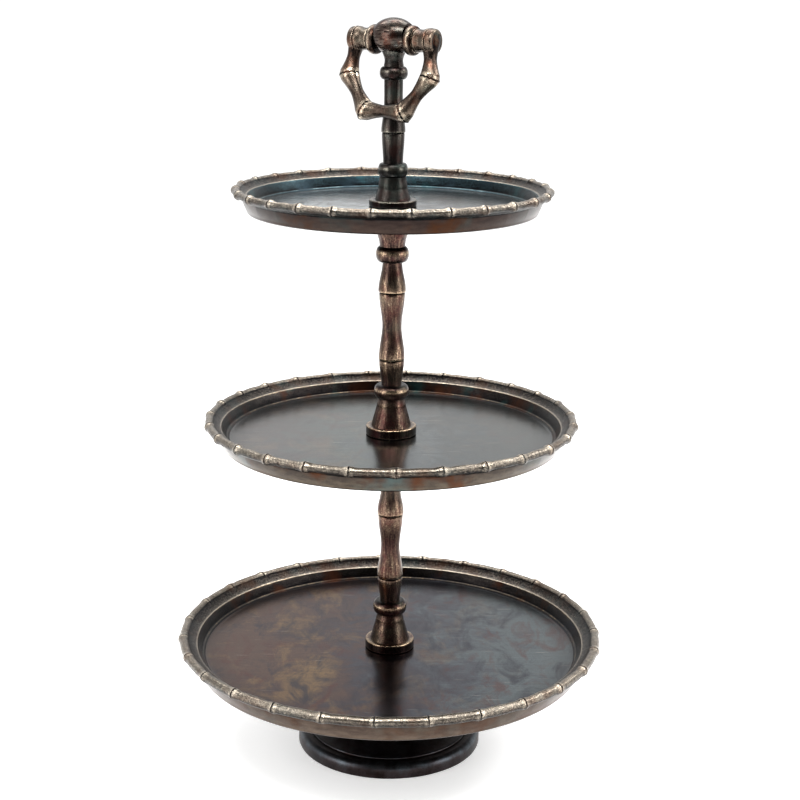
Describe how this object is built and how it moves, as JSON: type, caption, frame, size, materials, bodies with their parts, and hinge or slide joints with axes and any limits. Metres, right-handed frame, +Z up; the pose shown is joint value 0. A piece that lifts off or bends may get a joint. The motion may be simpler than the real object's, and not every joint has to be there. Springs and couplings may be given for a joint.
{
  "type": "tiered cake stand",
  "caption": "Tiered serving stand: round bamboo-rimmed trays on a cast bamboo centre post, pedestal foot below and swinging ring handle on top",
  "frame": {"origin": "on the stand's axis, at the surface that the foot rests on", "axes": "+Z up along the post; -Y towards the front, +X to the right seen from the front"},
  "size_m": [0.3563, 0.3562, 0.6072],
  "materials": {
    "foot": "dark oxidised patina on cast aluminium, satin",
    "bottom_tray": "cast aluminium with brown and teal heat patina, rim rubbed bright",
    "middle_tray": "cast aluminium with grey-green patina, rim rubbed bright",
    "top_tray": "cast aluminium with blue-green patina, rim rubbed bright",
    "lower_post": "cast aluminium with bronze patina, rubbed on the nodes",
    "upper_post": "cast aluminium with bronze patina, rubbed on the nodes",
    "handle_post": "cast aluminium with dark bronze patina",
    "ring_handle": "cast aluminium rubbed to warm pewter",
    "zinc": "zinc plated",
    "fibre": "red-brown vulcanised fibre"
  },
  "bodies": {
    "stand": {"foot": "foot", "foot_bolt": "zinc", "foot_washer": "zinc", "foot_lock_washer": "zinc", "foot_gasket": "fibre", "bottom_tray": "bottom_tray", "lower_post": "lower_post", "middle_gasket": "fibre", "middle_stud": "zinc", "middle_tray": "middle_tray", "upper_post": "upper_post", "top_gasket": "fibre", "top_stud": "zinc", "top_tray": "top_tray", "handle_post": "handle_post"},
    "ring": {"ring_handle": "ring_handle", "pivot_pin": "zinc"}
  },
  "joints": [
    {"name": "ring_swing", "type": "hinge", "parent": "stand", "child": "ring", "pos_m": [0, 0, 0.59002], "axis": [-0.848, 0.5299, 0], "range_deg": [0, 332]}
  ]
}
